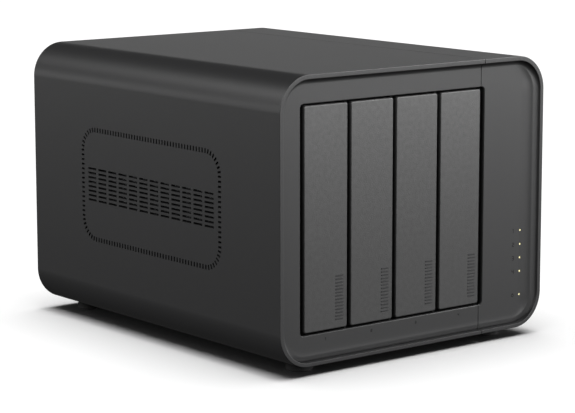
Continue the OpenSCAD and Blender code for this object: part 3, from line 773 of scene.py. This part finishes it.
# The strokes of each number, 2 units high, as pairs of end points
STROKES = {
    "1": [((0.0, 0.0), (0.0, 2.0)), ((-0.4, 1.6), (0.0, 2.0))],
    "2": [((-0.6, 2.0), (0.6, 2.0)), ((0.6, 2.0), (0.6, 1.0)), ((0.6, 1.0), (-0.6, 1.0)),
          ((-0.6, 1.0), (-0.6, 0.0)), ((-0.6, 0.0), (0.6, 0.0))],
    "3": [((-0.6, 2.0), (0.6, 2.0)), ((0.6, 2.0), (0.6, 0.0)), ((-0.5, 1.0), (0.6, 1.0)),
          ((-0.6, 0.0), (0.6, 0.0))],
    "4": [((-0.6, 2.0), (-0.6, 1.0)), ((-0.6, 1.0), (0.6, 1.0)), ((0.6, 2.0), (0.6, 0.0))],
}
STROKE_W = 0.24
INK_PROUD = 0.02
INK_SUNK = 0.1
LIGHT_MARK_H = 1.9
BAY_MARK_H = 1.3
# How far the marks stand to the left of the lights, and how high the bay marks stand above the shell's base
MARK_LEFT = 5.0
BAY_MARK_RISE = 12.0


def add_stroke(bm, start, end, width, y):
    """A flat inked bar from start to end on the front panel."""
    along = (Vector(end) - Vector(start)).normalized()
    side = Vector((-along.y, along.x)) * width / 2
    tip = along * width / 2
    a, b = Vector(start) - tip, Vector(end) + tip
    corners = (a + side, b + side, b - side, a - side)
    proud = [Vector((p.x, y - INK_PROUD, p.y)) for p in corners]
    sunk = [Vector((p.x, y + INK_SUNK, p.y)) for p in corners]
    add_loft(bm, [proud, sunk])


def add_mark(bm, lines, centre, height):
    """A mark of a given height, with its middle at centre."""
    scale = height / 2
    for start, end in lines:
        a = Vector(start) * scale + Vector(centre) - Vector((0, height / 2))
        b = Vector(end) * scale + Vector(centre) - Vector((0, height / 2))
        add_stroke(bm, a, b, STROKE_W, PANEL)


def power_mark():
    """An open ring with a bar, the usual sign for power."""
    steps = 8
    radius = 0.85
    points = []
    for i in range(steps + 1):
        a = math.radians(120 + 300 * i / steps)
        points.append((radius * math.cos(a), 1 + radius * math.sin(a)))
    return list(zip(points, points[1:])) + [((0.0, 1.2), (0.0, 2.0))]


def make_light_marks():
    """The power sign beside the lowest light, and 4 down to 1 beside the lights above it."""
    bm = bmesh.new()
    x = LIGHT_X - MARK_LEFT
    add_mark(bm, power_mark(), (x, LIGHT_ZS[0]), LIGHT_MARK_H)
    for k, z in enumerate(LIGHT_ZS[1:]):
        add_mark(bm, STROKES[str(4 - k)], (x, z), LIGHT_MARK_H)
    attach(object_from(bm, "light_marks", "print_ink"), "enclosure")


def make_bay_marks():
    """The numbers 1 to 4 under the trays."""
    bm = bmesh.new()
    for k in range(1, 5):
        low, high = node_box(f"tray_face_{k}")
        add_mark(bm, STROKES[str(k)], ((low.x + high.x) / 2, BOTTOM + BAY_MARK_RISE), BAY_MARK_H)
    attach(object_from(bm, "bay_marks", "print_ink"), "enclosure")


make_light_marks()
make_bay_marks()


# ---------------------------------------------------------------- feet and screws

def make_feet():
    """Four rubber pads with soft edges and a hollowed base."""
    low, high = node_box("rubber_feet")
    cad_r = 7
    r = 6.98
    profile = [(4.4, 0.7), (4.8, 0.1), (5.1, 0.0), (6.0, 0.0), (6.5, 0.12), (6.85, 0.45), (r, 1.0),
               (r, 4.2), (6.8, 4.7), (6.4, 5.0)]
    bm = bmesh.new()
    for x in (low.x + cad_r, high.x - cad_r):
        for y in (low.y + cad_r, high.y - cad_r):
            add_lathe(bm, profile, (x, y, 0), "z", 48)
    feet = object_from(bm, "feet", "foot_rubber")
    smooth(feet)
    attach(feet, "enclosure")
    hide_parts("rubber_feet")


def cross_outline(x, z, reach, width):
    """A cross round (x, z), turned by an angle that follows from its place."""
    w, r = width / 2, reach / 2
    corners = (
        (w, r), (-w, r), (-w, w), (-r, w), (-r, -w), (-w, -w),
        (-w, -r), (w, -r), (w, -w), (r, -w), (r, w), (w, w),
    )
    turn = math.radians((x * 37 + z * 53) % 90)
    c, s = math.cos(turn), math.sin(turn)
    return [(x + a * c - b * s, z + a * s + b * c) for a, b in corners]


def make_screws(name, node, holes, shank_r, head_r, head_h, shank):
    """Pan head screws with a cross recess, each turned to its own angle."""
    rear = node_box("rear_panel")[1].y
    profile = [
        (shank_r, -shank), (shank_r, 0.0), (head_r - 0.1, 0.0), (head_r, 0.12), (head_r, 0.45 * head_h),
        (head_r * 0.93, 0.68 * head_h), (head_r * 0.76, 0.87 * head_h), (head_r * 0.5, 0.975 * head_h),
        (head_r * 0.25, head_h),
    ]
    bm = bmesh.new()
    recess = bmesh.new()
    for x, z in holes:
        add_lathe(bm, profile, (x, rear, z), "y", 36)
        mouth = cross_outline(x, z, head_r * 1.15, head_r * 0.26)
        bottom = cross_outline(x, z, head_r * 0.8, head_r * 0.2)
        near = [Vector((a, rear + head_h + 0.5, b)) for a, b in mouth]
        far = [Vector((a, rear + head_h - 1.0, b)) for a, b in bottom]
        add_loft(recess, [near, far])
    screws = object_from(bm, name, "screw_steel")
    boolean(screws, object_from(recess, name + "_recess", "screw_steel"), "DIFFERENCE")
    smooth(screws)
    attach(screws, "enclosure")
    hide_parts(node)


def make_all_screws():
    """The screws of the case and of the fan, round the holes of the CAD screws."""
    head_h = 1.6
    case_head, fan_head = 2.8, 4.0
    low, high = node_box("case_screws")
    left, right = low.x + case_head, high.x - case_head
    bottom, top = low.z + case_head, high.z - case_head
    corner_rise = 4.3
    corners = [(x, z) for x in (left, right) for z in (bottom + corner_rise, top - corner_rise)]
    middles = [(x, z) for x in (0, 54) for z in (bottom, top)]
    make_screws("shell_screws", "case_screws", corners + middles, 1.48, case_head, head_h, 8.9)
    low, high = node_box("fan_screws")
    left, right = low.x + fan_head, high.x - fan_head
    bottom, top = low.z + fan_head, high.z - fan_head
    fan_holes = [(x, z) for x in (left, right) for z in (bottom, top)]
    make_screws("fan_mounting_screws", "fan_screws", fan_holes, 2.18, fan_head, head_h, 10.2)


make_feet()
make_all_screws()


# ---------------------------------------------------------------- fan wheel

# How far the blade tips lie inside the outside of the square fan frame
FAN_TIP_INSET = 3.6
FAN_BLADES = 9
# Where the first blade stands, and how far a blade's tip is swept back from its root, in degrees
FAN_START = 13
BLADE_SWEEP = 26
# Across the wheel: a blade's length at its root, what it gains to the tip, and its curve
BLADE_CHORD = 17.0
BLADE_CHORD_GAIN = 21.0
BLADE_CAMBER = 2.2
# Thickness at the root and what is lost to the tip, and what the tip's corners are cut back
BLADE_THICK = 1.5
BLADE_THINNING = 0.7
BLADE_TRIM = 1.2
BLADE_RINGS = 8
BLADE_STEPS = 6
HUB_R = 19.0


def add_blade(bm, centre, start, radii, y0, y1):
    """One curved and twisted blade, swept back towards its tip."""
    rings = []
    for k, r in enumerate(radii):
        part = k / (len(radii) - 1)
        swept = start + math.radians(BLADE_SWEEP) * part ** 1.6
        chord = BLADE_CHORD + BLADE_CHORD_GAIN * part
        thick = BLADE_THICK - BLADE_THINNING * part
        cut = BLADE_TRIM * part ** 3
        ring = []
        for side in (1, -1):
            for i in range(BLADE_STEPS + 1):
                s = i / BLADE_STEPS if side > 0 else 1 - i / BLADE_STEPS
                swell = math.sin(math.pi * min(max(s, 0.04), 0.96)) ** 0.5
                across = (s - 0.5) * chord + BLADE_CAMBER * math.sin(math.pi * s) + side * thick / 2 * swell
                a = swept + across / r
                y = y0 + cut + (y1 - y0 - 2 * cut) * s
                ring.append(Vector((centre[0] + r * math.cos(a), y, centre[1] + r * math.sin(a))))
        rings.append(ring)
    add_loft(bm, rings)


def hub_profile(front, back):
    """The hub as a cup with its shaft, as (radius, depth) from the shaft's end to the front's middle."""
    floor = front + 1.5
    rim = back - 1.75
    return [
        (1.45, back), (1.45, floor), (18.0, floor), (18.0, rim), (19.45, rim), (19.45, front + 1.6),
        (19.0, front + 0.6), (17.8, front), (8.0, front), (7.6, front + 0.3), (3.0, front + 0.3),
    ]


def make_fan_wheel():
    """The hub and its blades, centred on the square fan frame."""
    low, high = node_box("fan_rotor")
    frame_low, frame_high = node_box("fan_frame")
    centre = ((frame_low.x + frame_high.x) / 2, (frame_low.z + frame_high.z) / 2)
    tip_r = (frame_high.z - frame_low.z) / 2 - FAN_TIP_INSET
    bm = bmesh.new()
    add_lathe(bm, hub_profile(low.y, high.y), (centre[0], 0, centre[1]), "y", 64)
    radii = [HUB_R + (tip_r - HUB_R) * i / BLADE_RINGS for i in range(BLADE_RINGS + 1)]
    for k in range(FAN_BLADES):
        start = math.radians(FAN_START + 360 / FAN_BLADES * k)
        add_blade(bm, centre, start, radii, low.y + 1.2, high.y - 2.9)
    wheel = object_from(bm, "fan_blades", "fan_plastic")
    smooth(wheel, 40)
    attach(wheel, "fan_wheel")
    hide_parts("fan_rotor")


make_fan_wheel()


# ---------------------------------------------------------------- inside the rear ports

def small_part(bm, name, material):
    """A small piece that stays with the enclosure."""
    piece = object_from(bm, name, material)
    smooth(piece)
    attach(piece, "enclosure")
    return piece


# How far a tongue covers the plain one, and how its tip tapers in thickness, width and length
TONGUE_COVER = 0.06
TONGUE_TAPER = (0.15, 0.3, 0.4)
TONGUE_CONTACTS = 4
CONTACT_PROUD = 0.04


def make_tongue(name, node, centre_zs, thick, half, material):
    """A plastic tongue with gilt contacts, sleeved over the plain one."""
    low, high = node_box(node)
    x_mid = (low.x + high.x) / 2
    y0, y1 = low.y + 2.1, high.y - 0.9
    thinner, narrower, shorter = TONGUE_TAPER
    tongue = bmesh.new()
    pins = bmesh.new()
    for z in centre_zs:
        t, h = thick / 2 + TONGUE_COVER, half + TONGUE_COVER
        rings = []
        for y, dt, dh in ((y0, 0, 0), (y1 - shorter, 0, 0), (y1, thinner, narrower)):
            outline = rectangle(x_mid, z, 2 * (t - dt), 2 * (h - dh))
            rings.append([Vector((x, y, w)) for x, w in outline])
        add_loft(tongue, rings)
        for k in range(TONGUE_CONTACTS):
            zc = z + (k - 1.5) * half * 0.5
            pin_half = half * 0.11
            pin_low = (x_mid - t - CONTACT_PROUD, y1 - 5.0, zc - pin_half)
            pin_high = (x_mid - t + 0.1, y1 - 1.2, zc + pin_half)
            add_box(pins, pin_low, pin_high)
    small_part(tongue, name, material)
    small_part(pins, name + "_contacts", "contact_gold")


JACK_SIZE = 16.2
JACK_CONTACTS = 8
JACK_CONTACT_PITCH = 1.05
# Half of the liner's opening, and half of its outside
LINER_IN = 5.45
LINER_OUT = 5.87


def make_jack_insides():
    """The dark liner and the eight sprung contacts of each network jack."""
    low, high = node_box("network_jacks")
    liner = bmesh.new()
    pins = bmesh.new()
    for z in (low.z + JACK_SIZE / 2, high.z - JACK_SIZE / 2):
        x0, x1 = low.x + 2.45, low.x + 10.75
        y0, y1 = high.y - 15.9, high.y - 0.25
        for z0, z1 in ((z - LINER_OUT, z - LINER_IN), (z + LINER_IN, z + LINER_OUT)):
            add_box(liner, (x0, y0, z0), (x1, y1, z1))
        add_box(liner, (x1 - 0.4, y0, z - 5.4), (x1, y1, z + 5.4))
        add_box(liner, (x0, y0, z - 5.4), (x1 - 0.5, y0 + 0.4, z + 5.4))
        for k in range(JACK_CONTACTS):
            zc = z + (k - 3.5) * JACK_CONTACT_PITCH
            deep = [(x1 - 3.6, zc - 0.2), (x1 - 3.2, zc - 0.2), (x1 - 3.2, zc + 0.2), (x1 - 3.6, zc + 0.2)]
            rear_end = [Vector((x + 2.7, y1 - 2.2, w)) for x, w in deep]
            front_end = [Vector((x, y0 + 3.0, w)) for x, w in deep]
            add_loft(pins, [front_end, rear_end])
    small_part(liner, "jack_liners", "header_black")
    small_part(pins, "jack_contacts", "contact_gold")


def make_power_pin():
    """The round-tipped pin in the middle of the power jack."""
    low, high = node_box("power_jack")
    profile = [
        (1.3, low.y + 3.2), (1.3, high.y - 1.5), (1.15, high.y - 1.1),
        (0.8, high.y - 0.9), (0.3, high.y - 0.85),
    ]
    bm = bmesh.new()
    add_lathe(bm, profile, ((low.x + high.x) / 2, 0, (low.z + high.z) / 2), "y", 24)
    small_part(bm, "power_pin", "plug_metal")


def make_port_insides():
    """The tongues, liners and contacts inside the rear connectors."""
    usb_low, usb_high = node_box("usb_ports")
    make_tongue("usb_tongues", "usb_ports", (usb_low.z + 6.6, usb_high.z - 6.6), 2.0, 5.3, "tongue_blue")
    c_low, c_high = node_box("usb_c_port")
    make_tongue("usb_c_tongue", "usb_c_port", ((c_low.z + c_high.z) / 2,), 0.7, 3.3, "header_black")
    h_low, h_high = node_box("hdmi_port")
    make_tongue("hdmi_tongue", "hdmi_port", ((h_low.z + h_high.z) / 2,), 2.0, 6.2, "header_black")
    make_jack_insides()
    make_power_pin()


make_port_insides()


# ---------------------------------------------------------------- CAD nodes that keep their shape

def dress(node, bevel_mm=0.0, material=None):
    """Gives a CAD node its material and, where its edges show, a small bevel."""
    piece = NODES[node]
    piece.data.materials.clear()
    piece.data.materials.append(MATERIALS[material or SLOT_OF[node]])
    if bevel_mm:
        weld = piece.modifiers.new("weld", "WELD")
        weld.merge_threshold = 0.00001
        bevel = piece.modifiers.new("bevel", "BEVEL")
        bevel.width = bevel_mm * MM
        bevel.segments = 2
        bevel.limit_method = "ANGLE"
        bevel.angle_limit = math.radians(35)
        bevel.harden_normals = True


# Widths of the small bevels
BEVELS = {
    "rear_panel": 0.2, "tray_1": 0.2, "tray_2": 0.2, "tray_3": 0.2, "tray_4": 0.2,
    "cage_left_wall": 0.15, "cage_right_wall": 0.15, "cage_top_plate": 0.15, "cage_bottom_plate": 0.15,
    "network_jacks": 0.15, "power_switch": 0.2, "heat_sink": 0.15, "processor": 0.2,
}
# Nodes that wear another material than the one that their slot names
OWN_LOOK = {
    "fan_grille": "grille_metal",
    # The bay guides and the lock strips wear recess_black, painted shade for the dark inside of the bays,
    # darker than the material their slot names
    "upper_bay_guide": "recess_black",
    "lower_bay_guide": "recess_black",
}
OWN_LOOK.update({f"lock_strip_{k}": "recess_black" for k in range(1, 5)})
REPLACED = {"left_shell", "right_shell", "rubber_feet", "case_screws", "fan_screws", "fan_rotor"}
REPLACED.update(f"tray_face_{k}" for k in range(1, 5))
for node in NODES:
    if node not in REPLACED:
        dress(node, BEVELS.get(node, 0.0), OWN_LOOK.get(node))


# ---------------------------------------------------------------- floor, light and camera

FLOOR_HALF = 20000
FLOOR_T = 20
# Depth, in metres, past which a piece counts as one of the rear
REAR_Y = 0.1015


def make_floor():
    """A wide sheet of white paper, which the product doesn't mirror."""
    bm = bmesh.new()
    add_box(bm, (-FLOOR_HALF, -FLOOR_HALF, -FLOOR_T), (FLOOR_HALF, FLOOR_HALF, 0))
    floor = object_from(bm, "floor", "print_ink")
    n = Nodes("floor_paper")
    cloud = n.noise(400.0, 2.0)
    tone = n.mix(cloud, "Fac", (0.9, 0.9, 0.9), (0.93, 0.93, 0.93))
    n.link(tone, "Result", n.shader, "Base Color")
    n.shader.inputs["Roughness"].default_value = 0.9
    n.shader.inputs["Specular IOR Level"].default_value = 0.0
    floor.data.materials[0] = n.material
    floor.visible_glossy = False
    floor.visible_diffuse = False
    return floor


def receivers(name, floor, state):
    """A light group that holds the floor, or everything but the floor."""
    group = bpy.data.collections.new(name)
    group.objects.link(floor)
    group.collection_objects[0].light_linking.link_state = state
    return group


def rear_pieces():
    """A light group of the pieces that reach the rear panel, without the shells."""
    group = bpy.data.collections.new("lit_rear")
    for piece in bpy.data.objects:
        if piece.type != "MESH" or piece.name.startswith(("shell", "floor")):
            continue
        if max((piece.matrix_world @ Vector(corner)).y for corner in piece.bound_box) > REAR_Y:
            group.objects.link(piece)
    return group


def soft_box(name, at, target, size, power, group):
    """A rectangular studio light that shines from one place at another, both in metres."""
    data = bpy.data.lights.new(name, "AREA")
    data.shape = "RECTANGLE"
    data.size, data.size_y = size
    data.energy = power
    data.spread = math.radians(180)
    light = bpy.data.objects.new(name, data)
    light.location = at
    light.rotation_mode = "QUATERNION"
    light.rotation_quaternion = (Vector(target) - Vector(at)).to_track_quat("-Z", "Y")
    light.light_linking.receiver_collection = group
    scene.collection.objects.link(light)


def overhead(name, strength, width, group):
    """An even light from straight above, as wide in the sky as the angle says."""
    data = bpy.data.lights.new(name, "SUN")
    data.energy = strength
    data.angle = math.radians(width)
    light = bpy.data.objects.new(name, data)
    light.location = (0, 0, 2)
    light.light_linking.receiver_collection = group
    scene.collection.objects.link(light)


def make_lights(floor):
    """Soft boxes round the enclosure, and a separate even light from above for the white floor."""
    product = receivers("lit_product", floor, "EXCLUDE")
    paper = receivers("lit_floor", floor, "INCLUDE")
    middle = (0, 0, 0.07)
    soft_box("front_right", (1.3, -1.5, 0.75), middle, (2.4, 1.1), 77.0, product)
    soft_box("front_rim", (0.25, -0.3, 0.3), (0, -0.11, 0.14), (0.3, 0.06), 0.67, product)
    soft_box("left", (-1.5, 0.0, 1.1), middle, (2.2, 1.2), 36.0, product)
    soft_box("back_left_low", (-1.7, 1.9, 0.22), middle, (1.4, 0.4), 4.4, product)
    soft_box("back_left", (-1.3, 1.5, 1.5), middle, (1.2, 0.9), 6.4, product)
    soft_box("back_right", (2.6, 2.8, 0.45), middle, (3.0, 0.9), 7.4, product)
    soft_box("rear_fill", (0.7, 1.9, 0.9), (0, 0.1, 0.08), (1.6, 1.0), 40.0, rear_pieces())
    overhead("floor_sharp", 0.57, 4.7, paper)
    overhead("floor_soft", 3.2, 62, paper)


def make_camera():
    """A long lens from the front left, a little above."""
    azimuth, elevation = math.radians(38.899), math.radians(9.419)
    data = bpy.data.cameras.new("camera")
    data.sensor_width = 36.0
    data.lens = 138.99
    data.shift_x = -0.02585
    data.shift_y = -0.01039
    data.clip_start, data.clip_end = 0.05, 50.0
    camera = bpy.data.objects.new("camera", data)
    camera.location = (-0.74841, -0.94492, 0.26709)
    level = math.cos(elevation)
    forward = Vector((math.sin(azimuth) * level, math.cos(azimuth) * level, -math.sin(elevation)))
    camera.rotation_mode = "QUATERNION"
    camera.rotation_quaternion = forward.to_track_quat("-Z", "Y")
    scene.collection.objects.link(camera)
    scene.camera = camera


def make_world(strength):
    """A faint even light from all round."""
    world = bpy.data.worlds.new("studio")
    scene.world = world
    world.use_nodes = True
    back = world.node_tree.nodes["Background"]
    back.inputs["Color"].default_value = (1, 1, 1, 1)
    back.inputs["Strength"].default_value = strength


make_lights(make_floor())
make_camera()
make_world(0.05)
scene.view_settings.view_transform = "Standard"
